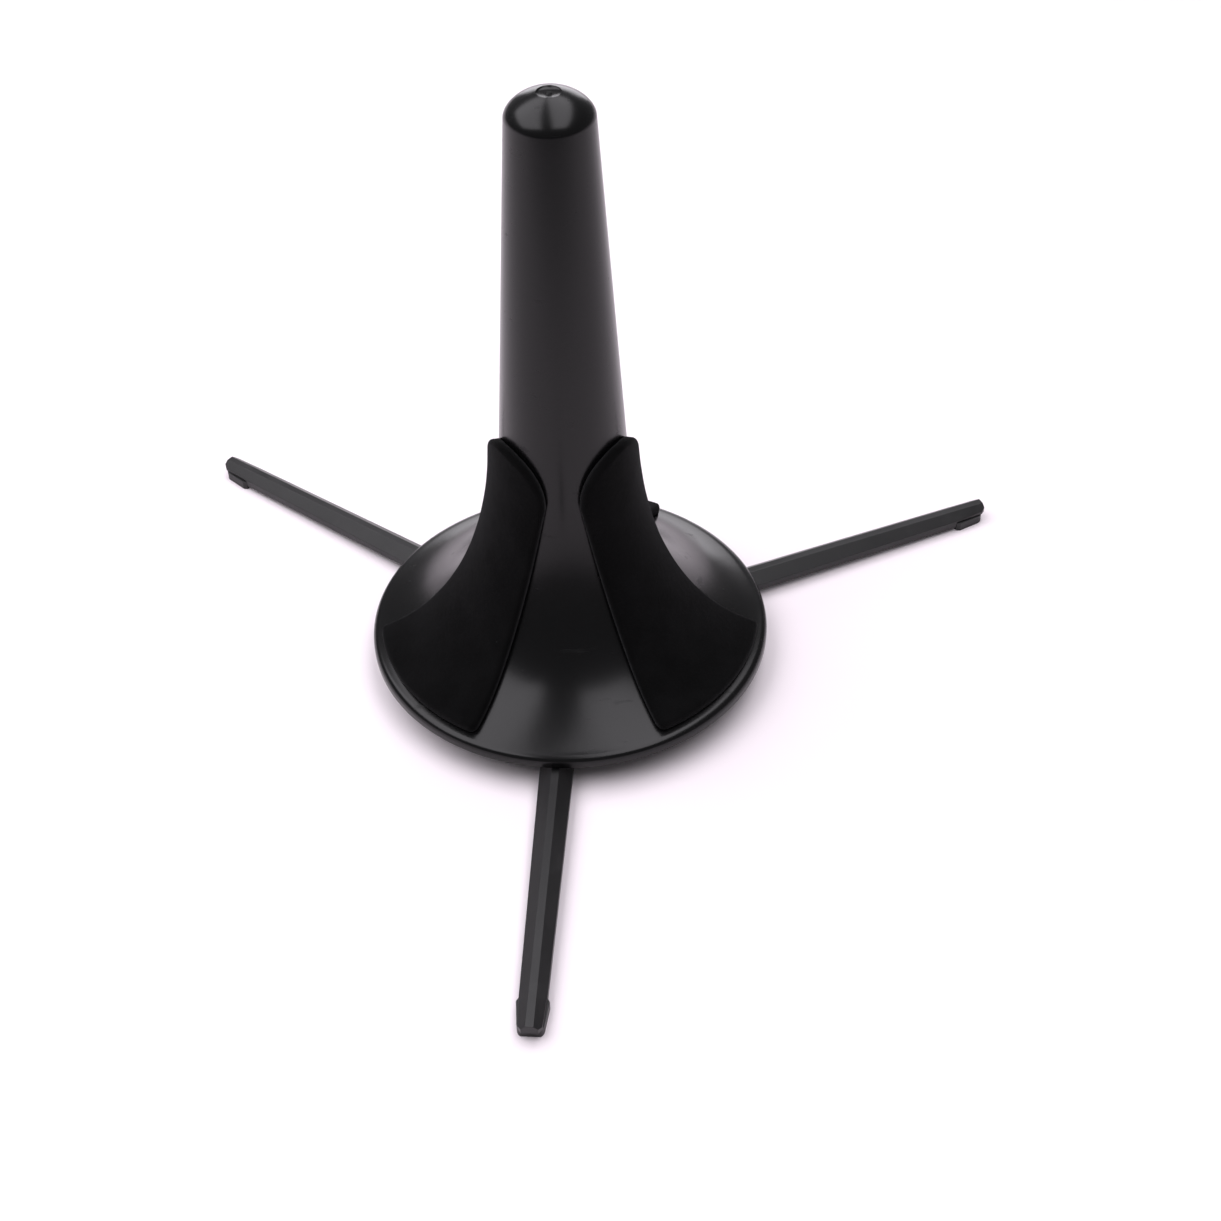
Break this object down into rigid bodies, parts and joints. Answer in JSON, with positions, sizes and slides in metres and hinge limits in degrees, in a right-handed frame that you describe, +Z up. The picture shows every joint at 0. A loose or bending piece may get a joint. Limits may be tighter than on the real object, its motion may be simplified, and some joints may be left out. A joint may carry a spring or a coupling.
{
  "type": "trumpet stand",
  "caption": "Folding floor stand for a trumpet: a tapered hollow peg with a padded flare that fills the bell, on a low tripod of slim hinged legs.",
  "frame": {"origin": "centre of the hub's flat underside, on the peg's axis, 1.5 mm above the floor", "axes": "+Z up along the peg's axis, away from the hub's underside; the front leg points near -Y, the right leg near +X and a little to +Y, the left leg to -X and +Y"},
  "size_m": [0.2316, 0.2216, 0.1722],
  "materials": {
    "black_plastic": "semi-gloss black moulded plastic",
    "leg_plastic": "satin black moulded plastic",
    "pad_flock": "matte black flock on soft foam",
    "foot_rubber": "matte black rubber",
    "pin_steel": "plain steel"
  },
  "bodies": {
    "base": {"hub": "leg_plastic", "hinge_pin_front": "pin_steel", "hinge_pin_left": "pin_steel", "hinge_pin_right": "pin_steel"},
    "peg": {"peg_shell": "black_plastic", "pad_left": "pad_flock", "pad_right": "pad_flock", "pad_back": "pad_flock"},
    "leg_front": {"leg_front": "leg_plastic", "foot_front": "foot_rubber"},
    "leg_left": {"leg_left": "leg_plastic", "foot_left": "foot_rubber"},
    "leg_right": {"leg_right": "leg_plastic", "foot_right": "foot_rubber"}
  },
  "joints": [
    {"name": "peg_lift", "type": "slide", "parent": "base", "child": "peg", "axis": [0, 0, 1], "range_m": [0, 0.17]},
    {"name": "leg_front_fold", "type": "hinge", "parent": "base", "child": "leg_front", "pos_m": [-0.00069, -0.00696, 0.0042], "axis": [-0.9951, 0.0993, 0], "range_deg": [0, 92]},
    {"name": "leg_left_fold", "type": "hinge", "parent": "base", "child": "leg_left", "pos_m": [-0.00541, 0.00444, 0.0042], "axis": [0.6347, 0.7727, 0], "range_deg": [0, 92]},
    {"name": "leg_right_fold", "type": "hinge", "parent": "base", "child": "leg_right", "pos_m": [0.0065, 0.0026, 0.0042], "axis": [0.3714, -0.9285, 0], "range_deg": [0, 92]}
  ],
  "couplings": [
    {"joint": "leg_front_fold", "follows": "peg_lift", "rad_per_m": 9.44},
    {"joint": "leg_left_fold", "follows": "peg_lift", "rad_per_m": 9.44},
    {"joint": "leg_right_fold", "follows": "peg_lift", "rad_per_m": 9.44}
  ]
}
